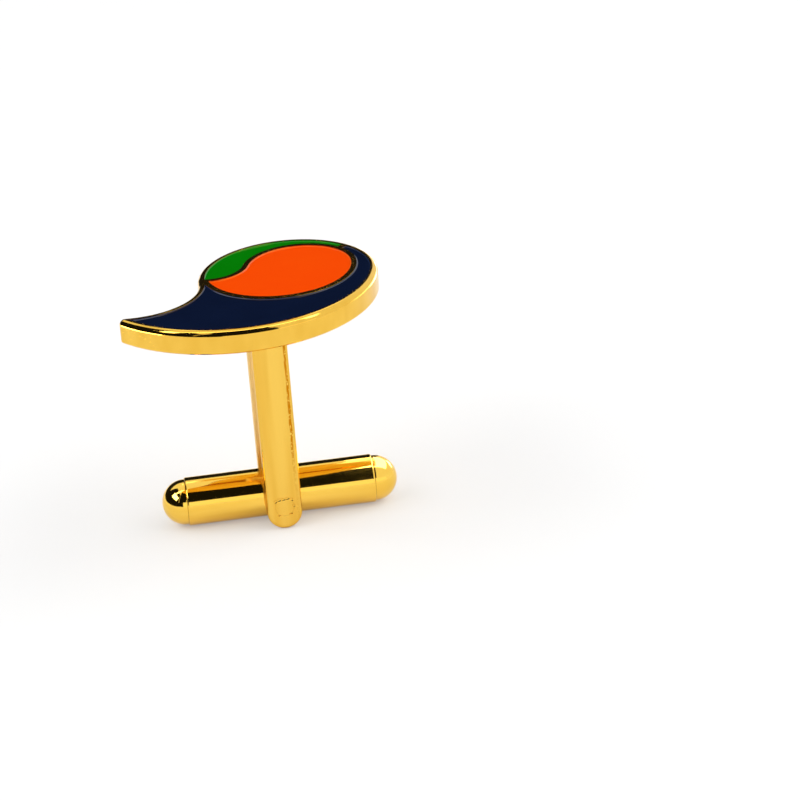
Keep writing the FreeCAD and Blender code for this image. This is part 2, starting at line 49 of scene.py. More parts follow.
cutterRun = 2  # a cutter is this many times as long as what it passes through
print("frame loaded:", ", ".join(sorted(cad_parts)))


# small helpers: pieces are modelled in millimetres and brought to metres when they are settled

def letGo():
    if bpy.context.object and bpy.context.object.mode != "OBJECT":
        bpy.ops.object.mode_set(mode="OBJECT")
    bpy.ops.object.select_all(action="DESELECT")


def takeHold(piece):
    letGo()
    piece.select_set(True)
    bpy.context.view_layer.objects.active = piece


def boxMm(node):
    low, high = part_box(node)
    return low / mm, high / mm


def placed(name):
    piece = bpy.context.object
    piece.name = name
    bpy.ops.object.transform_apply(location=True, rotation=True, scale=True)
    return piece


def addBlock(name, low, high):
    letGo()
    low, high = Vector(low), Vector(high)
    bpy.ops.mesh.primitive_cube_add(size=1, location=(low + high) / 2, scale=high - low)
    return placed(name)


def addRod(name, radius, length, centre, turn, sides, ends="NGON"):
    letGo()
    bpy.ops.mesh.primitive_cylinder_add(vertices=sides, radius=radius, depth=length, location=centre,
                                        rotation=turn, end_fill_type=ends)
    return placed(name)


def pick(piece, kind, test):
    # edit mode, with only the faces, edges or verts selected that pass the test
    takeHold(piece)
    bpy.ops.object.mode_set(mode="EDIT")
    bpy.ops.mesh.select_mode(type={"faces": "FACE", "edges": "EDGE", "verts": "VERT"}[kind])
    bpy.ops.mesh.select_all(action="DESELECT")
    shape = bmesh.from_edit_mesh(piece.data)
    chosen = [part for part in getattr(shape, kind) if test(part)]
    for part in chosen:
        part.select_set(True)
    shape.select_flush_mode()
    bmesh.update_edit_mesh(piece.data)


def close(a, b, slack=0.002):
    return abs(a - b) < slack


def edgeEnds(edge):
    return edge.verts[0].co, edge.verts[1].co


def applied(piece, kind, **settings):
    takeHold(piece)
    modifier = piece.modifiers.new(kind.lower(), kind)
    for key, value in settings.items():
        setattr(modifier, key, value)
    bpy.ops.object.modifier_apply(modifier=modifier.name)


def cutAway(piece, cutter):
    applied(piece, "BOOLEAN", operation="DIFFERENCE", solver="EXACT", object=cutter)
    bpy.data.objects.remove(cutter, do_unlink=True)


def weldAll(merge):
    bpy.ops.mesh.select_all(action="SELECT")
    bpy.ops.mesh.remove_doubles(threshold=merge)


def copyOfNode(node, name, merge=0.0005, flatTurn=0.3):
    # the solid's own mesh, welded, with its flat faces made whole
    piece = bpy.data.objects.new(name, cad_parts[node].data.copy())
    scene.collection.objects.link(piece)
    piece.data.materials.clear()
    piece.data.transform(Matrix.Scale(1 / mm, 4))
    takeHold(piece)
    bpy.ops.mesh.customdata_custom_splitnormals_clear()
    bpy.ops.object.mode_set(mode="EDIT")
    weldAll(merge)
    bpy.ops.mesh.dissolve_limited(angle_limit=math.radians(flatTurn))
    bpy.ops.object.mode_set(mode="OBJECT")
    return piece


def softenEdges(piece, width, steps, turn, fullness=0.6):
    applied(piece, "BEVEL", width=width, segments=steps, limit_method="ANGLE", angle_limit=math.radians(turn),
            profile=fullness, miter_outer="MITER_ARC")


def settle(piece, body, node, material, smoothTurn=32, flatWeight=60):
    takeHold(piece)
    bpy.ops.object.shade_smooth_by_angle(angle=math.radians(smoothTurn))
    applied(piece, "WEIGHTED_NORMAL", keep_sharp=True, weight=flatWeight)
    piece.scale = (mm, mm, mm)
    bpy.ops.object.transform_apply(location=True, rotation=True, scale=True)
    piece.data.materials.clear()
    piece.data.materials.append(material)
    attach(piece, body)
    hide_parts(node)
    print("settled", piece.name, len(piece.data.polygons), "faces")


def linear(hexText):
    # a colour as it is seen, turned into the shader's linear values
    knee, slope, shift, scale, power = 0.04045, 12.92, 0.055, 1.055, 2.4
    parts = [int(hexText[i:i + 2], 16) / 255 for i in (1, 3, 5)]
    return tuple(p / slope if p <= knee else ((p + shift) / scale) ** power for p in parts) + (1.0,)


# shader nodes: most of these add one node to a tree and give back its output

def feed(tree, socket, value):
    # a socket takes another node's output or a fixed value
    if isinstance(value, bpy.types.NodeSocket):
        tree.links.new(value, socket)
    else:
        socket.default_value = value


def addMath(tree, operation, *values):
    node = tree.nodes.new("ShaderNodeMath")
    node.operation = operation
    for socket, value in zip(node.inputs, values):
        feed(tree, socket, value)
    return node.outputs[0]


def addStretch(tree, vector, stretch):
    node = tree.nodes.new("ShaderNodeVectorMath")
    node.operation = "MULTIPLY"
    feed(tree, node.inputs[0], vector)
    feed(tree, node.inputs[1], stretch)
    return node.outputs[0]


def addNoise(tree, vector, scale, detail=2.0, roughness=0.5):
    node = tree.nodes.new("ShaderNodeTexNoise")
    for label, value in (("Vector", vector), ("Scale", scale), ("Detail", detail), ("Roughness", roughness)):
        feed(tree, node.inputs[label], value)
    return node.outputs["Fac"]


def addSpan(tree, value, fromLow, fromHigh, toLow=0.0, toHigh=1.0):
    node = tree.nodes.new("ShaderNodeMapRange")
    node.interpolation_type = "SMOOTHSTEP"
    for label, given in (("Value", value), ("From Min", fromLow), ("From Max", fromHigh),
                         ("To Min", toLow), ("To Max", toHigh)):
        feed(tree, node.inputs[label], given)
    return node.outputs["Result"]


def addMix(tree, factor, low, high):
    node = tree.nodes.new("ShaderNodeMix")
    node.data_type = "RGBA"
    feed(tree, node.inputs["Factor"], factor)
    for label, value in (("A", low), ("B", high)):
        feed(tree, next(s for s in node.inputs if s.name == label and s.type == "RGBA"), value)
    return next(s for s in node.outputs if s.type == "RGBA")


def addBump(tree, shader, height, relief):
    node = tree.nodes.new("ShaderNodeBump")
    node.inputs["Strength"].default_value = 1
    node.inputs["Distance"].default_value = relief
    tree.links.new(height, node.inputs["Height"])
    tree.links.new(node.outputs["Normal"], shader.inputs["Normal"])


def addPlace(tree):
    return tree.nodes.new("ShaderNodeTexCoord").outputs["Object"]


def splitPlace(tree, place):
    node = tree.nodes.new("ShaderNodeSeparateXYZ")
    tree.links.new(place, node.inputs[0])
    return node.outputs


# shader node groups that several finishes share

def newGroup(name, inputs, outputs):
    group = bpy.data.node_groups.new(name, "ShaderNodeTree")
    for way, sockets in (("INPUT", inputs), ("OUTPUT", outputs)):
        for label, kind in sockets.items():
            group.interface.new_socket(label, in_out=way, socket_type="NodeSocket" + kind)
    return group, group.nodes.new("NodeGroupInput"), group.nodes.new("NodeGroupOutput")


def addGroup(tree, group, place, values):
    node = tree.nodes.new("ShaderNodeGroup")
    node.node_tree = group
    tree.links.new(place, node.inputs["Vector"])
    for label, value in values.items():
        node.inputs[label].default_value = value
    return node


grainLook = {"pitRough": 0.6, "pitTop": 0.95, "pitEdge": 0.08, "lineShare": 0.5, "sheenSpan": (0.35, 0.65),
             "lineRise": 0.25, "toneSpan": (0.3, 0.7)}


def makePlatingGroup():
    # plated metal: tone and polishing lines drawn out along the piece, and fine pits
    look = grainLook
    group, given, out = newGroup(
        "platingGrain",
        {"Vector": "Vector", "Stretch": "Vector", "Tone Scale": "Float", "Line Scale": "Float",
         "Pit Scale": "Float", "Pit Share": "Float", "Low Roughness": "Float", "High Roughness": "Float"},
        {"Tone": "Float", "Roughness": "Float", "Height": "Float"})
    vector = given.outputs["Vector"]
    drawn = addStretch(group, vector, given.outputs["Stretch"])
    tone = addNoise(group, drawn, given.outputs["Tone Scale"])
    lines = addNoise(group, drawn, given.outputs["Line Scale"])
    grain = addNoise(group, vector, given.outputs["Pit Scale"], roughness=look["pitRough"])
    pitStart = addMath(group, "SUBTRACT", look["pitTop"], given.outputs["Pit Share"])
    pits = addSpan(group, grain, pitStart, addMath(group, "ADD", pitStart, look["pitEdge"]))
    toneShare = addMath(group, "MULTIPLY", tone, 1 - look["lineShare"])
    sheen = addMath(group, "MULTIPLY_ADD", lines, look["lineShare"], toneShare)
    roughness = addSpan(group, sheen, *look["sheenSpan"],
                        given.outputs["Low Roughness"], given.outputs["High Roughness"])
    sunk = addMath(group, "MULTIPLY", pits, -1.0)
    height = addMath(group, "MULTIPLY_ADD", lines, look["lineRise"], sunk)
    group.links.new(addSpan(group, tone, *look["toneSpan"]), out.inputs["Tone"])
    group.links.new(roughness, out.inputs["Roughness"])
    group.links.new(height, out.inputs["Height"])
    return group


speckLook = {"scale": 5200.0, "detail": 1.0, "span": (0.76, 0.8)}


def makePoolGroup():
    # poured enamel: where it climbs the cell's wall, slow ripples, and a few specks
    group, given, out = newGroup(
        "enamelPool",
        {"Vector": "Vector", "Level": "Float", "Climb": "Float", "Ripple Scale": "Float"},
        {"Edge": "Float", "Ripple": "Float", "Speck": "Float"})
    vector = given.outputs["Vector"]
    z = splitPlace(group, vector)["Z"]
    level = given.outputs["Level"]
    edge = addSpan(group, z, level, addMath(group, "ADD", level, given.outputs["Climb"]))
    specks = addNoise(group, vector, speckLook["scale"], speckLook["detail"])
    group.links.new(edge, out.inputs["Edge"])
    group.links.new(addNoise(group, vector, given.outputs["Ripple Scale"]), out.inputs["Ripple"])
    group.links.new(addSpan(group, specks, *speckLook["span"]), out.inputs["Speck"])
    return group


platingGrain = makePlatingGroup()
enamelPool = makePoolGroup()


# finishes

def newMaterial(name):
    material = bpy.data.materials.new(name)
    material.use_nodes = True
    tree = material.node_tree
    return material, tree, tree.nodes["Principled BSDF"]


def makePlated(name, look, addTouches=None):
    material, tree, shader = newMaterial(name)
    place = addPlace(tree)
    grain = addGroup(tree, platingGrain, place, {
        "Stretch": look["stretch"], "Tone Scale": look["toneScale"], "Line Scale": look["lineScale"],
        "Pit Scale": look["pitScale"], "Pit Share": look["pitShare"],
        "Low Roughness": look["polish"], "High Roughness": look["satin"]})
    colour = addMix(tree, grain.outputs["Tone"], linear(look["deep"]), linear(look["bright"]))
    roughness, height = grain.outputs["Roughness"], grain.outputs["Height"]
    if addTouches:
        colour, roughness, height = addTouches(tree, place, look, colour, roughness, height)
    tree.links.new(colour, shader.inputs["Base Color"])
    tree.links.new(roughness, shader.inputs["Roughness"])
    shader.inputs["Metallic"].default_value = 1.0
    shader.inputs["Specular Tint"].default_value = linear(look["edgeTint"])
    addBump(tree, shader, height, look["relief"])
    return material


goldBar = {"deep": "#F8C851", "bright": "#FCD05C", "stretch": (0.1, 1.0, 1.0), "toneScale": 900.0,
           "lineScale": 9000.0, "pitScale": 11000.0, "pitShare": 0.2, "polish": 0.05, "satin": 0.1,
           "relief": 0.0000008, "edgeTint": "#FFFFFF"}
springSteel = {"deep": "#8C8F94", "bright": "#B9BCC1", "stretch": (0.1, 1.0, 1.0), "toneScale": 500.0,
               "lineScale": 9000.0, "pitScale": 9000.0, "pitShare": 0.22, "polish": 0.22, "satin": 0.38,
               "relief": 0.000002, "edgeTint": "#FFFFFF"}
barGold = makePlated("barGold", goldBar)
steel = makePlated("springSteel", springSteel)

goldFace = {"deep": "#EBB947", "bright": "#F3C452", "stretch": (1.0, 1.0, 0.5), "toneScale": 500.0,
            "lineScale": 6000.0, "pitScale": 8000.0, "pitShare": 0.28, "polish": 0.06, "satin": 0.12,
            "relief": 0.0000016, "edgeTint": "#FFFFFF",
            "rim": {"start": 0.00005, "full": 0.000005, "scale": 7000.0, "detail": 3.0, "span": (0.56, 0.68),
                    "depth": 2.0}}  # start and full are measured down from the top


def rimTouches(tree, place, look, colour, roughness, height):
    # the tops of the rims are speckled
    rim = look["rim"]
    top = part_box("face_plate")[1].z
    z = splitPlace(tree, place)["Z"]
    onTop = addSpan(tree, z, top - rim["start"], top - rim["full"])
    specks = addNoise(tree, place, rim["scale"], rim["detail"])
    specks = addSpan(tree, specks, *rim["span"], toHigh=rim["depth"])
    height = addMath(tree, "SUBTRACT", height, addMath(tree, "MULTIPLY", onTop, specks))
    return colour, roughness, height


faceGold = makePlated("faceGold", goldFace, rimTouches)

goldPost = {"deep": "#EBB847", "bright": "#F5C858", "stretch": (1.0, 1.0, 0.05), "toneScale": 900.0,
            "lineScale": 8000.0, "pitScale": 10000.0, "pitShare": 0.24, "polish": 0.12, "satin": 0.2,
            "relief": 0.0000014, "edgeTint": "#FFEDBC",
            # slot: rougher inside the fork, and painted paler there, a painted sheen
            "slot": {"half": 0.00212, "edge": 0.0001, "rough": 0.45, "tone": "#FFE3A0"},
            "side": {"depth": 0.00004, "edge": 0.00002, "rough": 0.3},
            # run: a painted reflection, a dark-orange line with bright painted glints down one edge of the
            # front prong
            "run": {"at": 0.00112, "half": 0.00014, "core": 0.00007, "wander": 0.00006, "scale": 500.0,
                    "wanderSpan": (0.3, 0.7), "faintUpTo": 0.0042, "fullFrom": 0.0084, "faint": 0.2,
                    "tone": "#C87C04", "glintTone": "#FFDF68", "glintScale": 8000.0,
                    "glintSpan": (0.55, 0.62), "depth": 4.0}}


def addUnbuffedWithPaintedSheen(tree, place, look, colour, roughness):
    # inside the fork and along its narrow sides the metal is plated but hardly buffed, so it is rougher;
    # inside the fork it is also painted paler, a painted sheen for the light its satin face catches
    slot, side = look["slot"], look["side"]
    axes = splitPlace(tree, place)
    fromMiddle = addMath(tree, "ABSOLUTE", axes["Y"])
    inside = addSpan(tree, fromMiddle, slot["half"], slot["half"] + slot["edge"], 1.0, 0.0)
    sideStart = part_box("post_fork")[1].x - side["depth"]
    atSide = addSpan(tree, addMath(tree, "ABSOLUTE", axes["X"]), sideStart, sideStart + side["edge"])
    for where, rough in ((inside, slot["rough"]), (atSide, side["rough"])):
        roughness = addMath(tree, "MAXIMUM", roughness, addMath(tree, "MULTIPLY", where, rough))
    # the paler tone inside the fork is a painted sheen
    return addMix(tree, inside, colour, linear(slot["tone"])), roughness


def addPaintedEdgeReflection(tree, place, look, colour, height):
    # a painted reflection down one edge of the front prong, the edge the camera sees: a narrow wandering
    # dark-orange line with bright painted glints, fainter low down; the glints are also sunk a little in the
    # bump
    run = look["run"]
    x, y, z = splitPlace(tree, place)
    wander = addNoise(tree, place, run["scale"])
    middle = addSpan(tree, wander, *run["wanderSpan"], run["at"] - run["wander"], run["at"] + run["wander"])
    offMiddle = addMath(tree, "ABSOLUTE", addMath(tree, "SUBTRACT", x, middle))
    onReflectionLine = addSpan(tree, offMiddle, run["core"], run["half"], 1.0, 0.0)
    inFront = addMath(tree, "LESS_THAN", y, 0.0)
    strength = addSpan(tree, z, run["faintUpTo"], run["fullFrom"], run["faint"])
    onReflectionLine = addMath(tree, "MULTIPLY", addMath(tree, "MULTIPLY", onReflectionLine, inFront), strength)
    glints = addSpan(tree, addNoise(tree, place, run["glintScale"]), *run["glintSpan"])
    paintedReflection = addMix(tree, glints, linear(run["tone"]), linear(run["glintTone"]))
    height = addMath(tree, "MULTIPLY_ADD", addMath(tree, "MULTIPLY", onReflectionLine, glints), -run["depth"], height)
    return addMix(tree, onReflectionLine, colour, paintedReflection), height


def postTouches(tree, place, look, colour, roughness, height):
    colour, roughness = addUnbuffedWithPaintedSheen(tree, place, look, colour, roughness)
    # painted reflection down the front prong's edge
    colour, height = addPaintedEdgeReflection(tree, place, look, colour, height)
    return colour, roughness, height


postGold = makePlated("postGold", goldPost, postTouches)

# the lighter edge colour of each enamel is a painted highlight where the pool climbs the cell wall
orangeLook = {"deep": "#FE4A00", "bright": "#FF5000", "edgeHighlight": "#FF6C22", "climb": 0.00004,
              "rippleScale": 350.0, "gloss": 0.04, "dull": 0.2, "relief": 0.00001, "ior": 1.5, "shine": 0.25}
greenLook = dict(orangeLook, deep="#007800", bright="#008004", edgeHighlight="#17902C")
navyLook = dict(orangeLook, deep="#06112A", bright="#0A1734", edgeHighlight="#1A2D54")


def makeEnamel(name, look):
    material, tree, shader = newMaterial(name)
    pool = addGroup(tree, enamelPool, addPlace(tree), {
        "Level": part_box("enamel_orange")[1].z, "Climb": look["climb"], "Ripple Scale": look["rippleScale"]})
    body = addMix(tree, pool.outputs["Ripple"], linear(look["deep"]), linear(look["bright"]))
    # painted highlight: the pool is painted lighter where it climbs the wall
    colour = addMix(tree, pool.outputs["Edge"], body, linear(look["edgeHighlight"]))
    tree.links.new(colour, shader.inputs["Base Color"])
    gloss = addSpan(tree, pool.outputs["Speck"], 0.0, 1.0, look["gloss"], look["dull"])
    tree.links.new(gloss, shader.inputs["Roughness"])
    shader.inputs["IOR"].default_value = look["ior"]
    shader.inputs["Specular IOR Level"].default_value = look["shine"]
    addBump(tree, shader, pool.outputs["Ripple"], look["relief"])
    return material


orangeEnamel = makeEnamel("orangeEnamel", orangeLook)
greenEnamel = makeEnamel("greenEnamel", greenLook)
navyEnamel = makeEnamel("navyEnamel", navyLook)
print("finishes made")


# face: the struck plate, its outer rim rounded over and its other edges eased
faceLook = {"rimRound": 0.16, "rimSteps": 5, "cornerTurn": 0.4, "slope": (0.4, 0.95),  # turn in radians
            "ease": 0.05, "easeSteps": 3, "easeTurn": 30}  # turn in degrees


def makeFacePlate():
    piece = copyOfNode("face_plate", "facePlate")
    steep, flat = faceLook["slope"]

    def slopeBorder(edge):
        # the edges along the sloping band round the top
        sharp = edge.calc_face_angle(0) > faceLook["cornerTurn"]
        return sharp and any(steep < face.normal.z < flat for face in edge.link_faces)

    pick(piece, "edges", slopeBorder)
    bpy.ops.mesh.bevel(offset=faceLook["rimRound"], segments=faceLook["rimSteps"], affect="EDGES")
    bpy.ops.object.mode_set(mode="OBJECT")
    softenEdges(piece, faceLook["ease"], faceLook["easeSteps"], faceLook["easeTurn"])
    settle(piece, "post", "face_plate", faceGold)


# enamel: the pool's border climbs the cell wall and falls to the flat level in a hollow curve
poolLook = {"climb": 0.04, "reach": 0.2, "cuts": 4, "overshoot": 0.95, "merge": 0.0005, "clear": 0.01,
            "smoothTurn": 55}


def fromBorder(point, border):
    gaps = []
    for a, b in border:
        along = min(max((point - a).dot(b - a) / (b - a).length_squared, 0), 1)
        gaps.append((point - a.lerp(b, along)).length)
    return min(gaps)


def trimCorners(shape, border, reach):
    # in a sharp corner the two sides of the ring cross, so the verts that overshoot are drawn together
    crossed = [vert for vert in shape.verts if vert.select and fromBorder(vert.co, border) < reach]
    while crossed:
        run = [crossed.pop()]
        ends = []
        for vert in run:
            for other in [edge.other_vert(vert) for edge in vert.link_edges]:
                if other in crossed:
                    crossed.remove(other)
                    run.append(other)
                elif other.select and other not in run:
                    ends.append(other.co.copy())
        meeting = sum(ends, Vector()) / len(ends)
        for vert in run:
            vert.co = meeting


def makeEnamelPool(node, name, material):
    piece = copyOfNode(node, name)
    top = boxMm(node)[1].z
    reach = poolLook["reach"]
    pick(piece, "faces", lambda face: face.normal.z > squareOn and close(face.calc_center_median().z, top))
    shape = bmesh.from_edit_mesh(piece.data)
    border = [[end.copy() for end in edgeEnds(edge)] for edge in shape.edges
              if sum(face.select for face in edge.link_faces) == 1]
    bpy.ops.mesh.inset(thickness=reach)
    shape = bmesh.from_edit_mesh(piece.data)
    trimCorners(shape, border, reach * poolLook["overshoot"])
    bmesh.update_edit_mesh(piece.data)
    bpy.ops.mesh.remove_doubles(threshold=poolLook["merge"])

    def crossesRing(edge):
        ends = edgeEnds(edge)
        if not all(close(end.z, top) for end in ends):
            return False
        near, far = sorted(fromBorder(end, border) for end in ends)
        return near < poolLook["merge"] and far > poolLook["clear"]

    pick(piece, "edges", crossesRing)
    bpy.ops.mesh.subdivide(number_cuts=poolLook["cuts"])
    shape = bmesh.from_edit_mesh(piece.data)
    for vert in shape.verts:
        if close(vert.co.z, top):
            short = max(0, 1 - fromBorder(vert.co, border) / reach)
            vert.co.z += poolLook["climb"] * short * short
    bmesh.update_edit_mesh(piece.data)
    bpy.ops.object.mode_set(mode="OBJECT")
    settle(piece, "post", node, material, smoothTurn=poolLook["smoothTurn"])


# pivot pin, ground flush, with a hairline bevel at each end
pinLook = {"bevel": 0.012, "bevelSteps": 1, "sides": 72}

# its ends are beaten into their holes, which leaves a broken ring of dents in the pin and the prongs
dentLook = {
    "deep": 0.15, "stand": 0.55, "sides": 24, "rings": 12,  # stand: the share of deep that stays outside
    # across and up from the pin's middle, tilt in degrees, half length and half width
    "blows": ((-0.7, 0.6, 35, 0.24, 0.16), (-0.42, 0.72, 12, 0.28, 0.18), (-0.08, 0.74, 4, 0.28, 0.16),
              (0.27, 0.78, 10, 0.28, 0.15), (0.6, 0.66, -40, 0.24, 0.16), (0.76, 0.06, -72, 0.2, 0.16),
              (-0.52, -0.72, -20, 0.15, 0.09), (0.5, -0.64, 6, 0.24, 0.08))}


def beatPin(piece):
    low, high = boxMm("pivot_pin")
    middle = (low + high) / 2
    stand = dentLook["deep"] * dentLook["stand"]
    for y in (low.y - stand, high.y + stand):
        for across, up, tilt, long, wide in dentLook["blows"]:
            letGo()
            bpy.ops.mesh.primitive_uv_sphere_add(
                segments=dentLook["sides"], ring_count=dentLook["rings"], radius=1,
                location=(middle.x + across, y, middle.z + up), rotation=(0, -math.radians(tilt), 0),
                scale=(long, dentLook["deep"], wide))
            cutAway(piece, placed("blow"))


def makePin():
    low, high = boxMm("pivot_pin")
    radius = (high.x - low.x) / 2
    pin = addRod("pivotPin", radius, high.y - low.y, (low + high) / 2, alongY, pinLook["sides"])

    def endEdge(edge):
        a, b = edgeEnds(edge)
        return close(a.y, b.y)

    pick(pin, "edges", endEdge)
    bpy.ops.mesh.bevel(offset=pinLook["bevel"], segments=pinLook["bevelSteps"], affect="EDGES")
    bpy.ops.object.mode_set(mode="OBJECT")
    beatPin(pin)
    settle(pin, "post", "pivot_pin", postGold)


# forked post: a block with a full round end, crowned outer edges, a round-topped slot and the pin's hole
forkLook = {"crown": 0.4, "crownSteps": 8, "slotHalf": 2.1, "bridge": 1.2, "roundSteps": 28, "merge": 0.001,
            "ease": 0.05, "easeSteps": 2, "easeTurn": 40}


def makeFork():
    low, high = boxMm("post_fork")
    pinLow, pinHigh = boxMm("pivot_pin")
    half = (high.x - low.x) / 2
    fork = addBlock("postFork", low, high)

    def lowEdge(edge):
        a, b = edgeEnds(edge)
        return close(a.z, low.z) and close(b.z, low.z) and close(a.x, b.x)

    pick(fork, "edges", lowEdge)
    bpy.ops.mesh.bevel(offset=half, segments=forkLook["roundSteps"], affect="EDGES")
    weldAll(forkLook["merge"])

    def outerEdge(edge):
        a, b = edgeEnds(edge)
        return (close(abs(a.y), high.y) and close(a.y, b.y)
                and not (close(a.z, high.z) and close(b.z, high.z)))

    pick(fork, "edges", outerEdge)
    bpy.ops.mesh.bevel(offset=forkLook["crown"], segments=forkLook["crownSteps"], affect="EDGES")

    slotHalf = forkLook["slotHalf"]
    slotTop = high.z - forkLook["bridge"]
    slot = addBlock("slotCutter", (low.x * cutterRun, -slotHalf, low.z - half),
                    (high.x * cutterRun, slotHalf, slotTop))

    def slotEdge(edge):
        a, b = edgeEnds(edge)
        return close(a.z, slotTop) and close(b.z, slotTop) and close(a.y, b.y)

    pick(slot, "edges", slotEdge)
    bpy.ops.mesh.bevel(offset=slotHalf, segments=forkLook["roundSteps"], affect="EDGES")
    weldAll(forkLook["merge"])
    cutAway(fork, slot)
    softenEdges(fork, forkLook["ease"], forkLook["easeSteps"], forkLook["easeTurn"])
    # the pin is beaten flush, so its hole keeps a sharp edge
    holeRadius = (pinHigh.x - pinLow.x) / 2
    hole = addRod("holeCutter", holeRadius, (high.y - low.y) * cutterRun, (pinLow + pinHigh) / 2, alongY,
                  pinLook["sides"])
    cutAway(fork, hole)
    beatPin(fork)
    settle(fork, "post", "post_fork", postGold)


# brazing fillet round the fork's foot, hollow in profile as solder draws up
brazeLook = {"corner": 0.9, "footCorner": 0.4, "cornerSteps": 8, "lip": 0.04, "overrun": 1, "smoothTurn": 50,
             "rings": ((0.17, 0.03), (0.12, 0.08), (0.08, 0.14), (0.05, 0.22))}


def makeBraze():
    low, high = boxMm("foot_braze")
    forkLow, forkHigh = boxMm("post_fork")
    braze = addBlock("footBraze", (low.x, low.y, high.z - brazeLook["lip"]), high)

    def uprightEdge(edge):
        a, b = edgeEnds(edge)
        return close(a.x, b.x) and close(a.y, b.y)

    pick(braze, "edges", uprightEdge)
    bpy.ops.mesh.bevel(offset=brazeLook["corner"], segments=brazeLook["cornerSteps"], affect="EDGES")
    pick(braze, "faces", lambda face: face.normal.z < -squareOn)
    for width, fall in brazeLook["rings"]:
        bpy.ops.mesh.inset(thickness=width, depth=fall)
    foot = addBlock("footCutter", (forkLow.x, forkLow.y, low.z - brazeLook["overrun"]),
                    (forkHigh.x, forkHigh.y, high.z + brazeLook["overrun"]))
    pick(foot, "edges", uprightEdge)
    bpy.ops.mesh.bevel(offset=brazeLook["footCorner"], segments=brazeLook["cornerSteps"], affect="EDGES")
    cutAway(braze, foot)
    settle(braze, "post", "foot_braze", postGold, smoothTurn=brazeLook["smoothTurn"])


# toggle: a tube with eased ends and a cross hole, and two domed caps
barLook = {"wall": 0.6, "ease": 0.14, "easeSteps": 4, "holeGap": 0.03, "holeSides": 64, "sides": 144,
           "rimSlack": 0.02}


def makeBarrel():
    low, high = boxMm("toggle_barrel")
    pinLow, pinHigh = boxMm("pivot_pin")
    radius = (high.z - low.z) / 2
    middle = (low + high) / 2
    barrel = addRod("toggleBarrel", radius, high.x - low.x, middle, alongX, barLook["sides"], "NOTHING")
    applied(barrel, "SOLIDIFY", thickness=barLook["wall"], offset=-1, use_even_offset=True, use_rim=True)

    def outerEnd(edge):
        a, b = edgeEnds(edge)
        out = min(math.hypot(p.y - middle.y, p.z - middle.z) for p in (a, b))
        return close(a.x, b.x) and close(out, radius, barLook["rimSlack"])

    pick(barrel, "edges", outerEnd)
    bpy.ops.mesh.bevel(offset=barLook["ease"], segments=barLook["easeSteps"], affect="EDGES")
    bpy.ops.object.mode_set(mode="OBJECT")
    holeRadius = (pinHigh.x - pinLow.x) / 2 + barLook["holeGap"]
    hole = addRod("crossCutter", holeRadius, radius * 2 * cutterRun, middle, alongY, barLook["holeSides"])
    cutAway(barrel, hole)
    settle(barrel, "toggle", "toggle_barrel", barGold)


capLook = {"shoulder": 0.4, "ease": 0.04, "easeSteps": 2, "easeTurn": 40, "rings": 64, "sides": 144,
           "trim": 0.001}


def makeCaps():
    low, high = boxMm("toggle_cap_right")
    barrelEnd = boxMm("toggle_barrel")[1].x
    radius = (high.z - low.z) / 2
    domeX = high.x - radius
    letGo()
    bpy.ops.mesh.primitive_uv_sphere_add(
        segments=capLook["sides"], ring_count=capLook["rings"], radius=radius,
        location=(domeX, 0, (low.z + high.z) / 2), rotation=alongX)
    cap = placed("toggleCapRight")
    pick(cap, "verts", lambda vert: vert.co.x < domeX - capLook["trim"])
    bpy.ops.mesh.delete(type="VERT")
    pick(cap, "edges", lambda edge: edge.is_boundary)
    bpy.ops.mesh.extrude_region_move(TRANSFORM_OT_translate={"value": (barrelEnd - domeX, 0, 0)})
    bpy.ops.mesh.edge_face_add()
    bpy.ops.mesh.inset(thickness=capLook["shoulder"])
    bpy.ops.mesh.extrude_region_move(TRANSFORM_OT_translate={"value": (low.x - barrelEnd, 0, 0)})
    bpy.ops.mesh.select_all(action="SELECT")
    bpy.ops.mesh.normals_make_consistent(inside=False)
    bpy.ops.object.mode_set(mode="OBJECT")
    softenEdges(cap, capLook["ease"], capLook["easeSteps"], capLook["easeTurn"])
    other = cap.copy()
    other.data = cap.data.copy()
    other.name = "toggleCapLeft"
    scene.collection.objects.link(other)
    other.data.transform(Matrix.Rotation(math.pi, 4, "Z"))
    settle(cap, "toggle", "toggle_cap_right", barGold)
    settle(other, "toggle", "toggle_cap_left", barGold)


def finishSpring():
    # the hairpin spring keeps the solid's own mesh and takes only its finish
    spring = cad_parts["friction_spring"]
    spring.data.materials.clear()
    spring.data.materials.append(steel)


makeFacePlate()
makeEnamelPool("enamel_orange", "enamelOrange", orangeEnamel)
makeEnamelPool("enamel_green", "enamelGreen", greenEnamel)
makeEnamelPool("enamel_navy", "enamelNavy", navyEnamel)
makeFork()
makeBraze()
makePin()
makeBarrel()
makeCaps()
finishSpring()
print("pieces made")


# stage: a white floor, a white room and two lamps, and cards that only polished surfaces see
stageLook = {"floorSize": 3.0, "floorTone": 0.9, "floorRough": 0.9, "floorLift": 0.1, "seeThrough": 0.2,
             "roomLight": 0.65, "bounce": 0.4}


def addSeenDirectly(tree):
    # 1 for rays from the camera and for reflections, 0 for the light that falls on things, and a share for
    # what polished surfaces throw on
    path = tree.nodes.new("ShaderNodeLightPath")
    seen = addMath(tree, "MAXIMUM", path.outputs["Is Camera Ray"], path.outputs["Is Glossy Ray"])
    seen = addMath(tree, "MAXIMUM", seen, path.outputs["Is Transmission Ray"])
    share = addSpan(tree, path.outputs["Diffuse Depth"], 0.0, 1.0, 1.0, stageLook["bounce"])
    return addMath(tree, "MULTIPLY", seen, share)


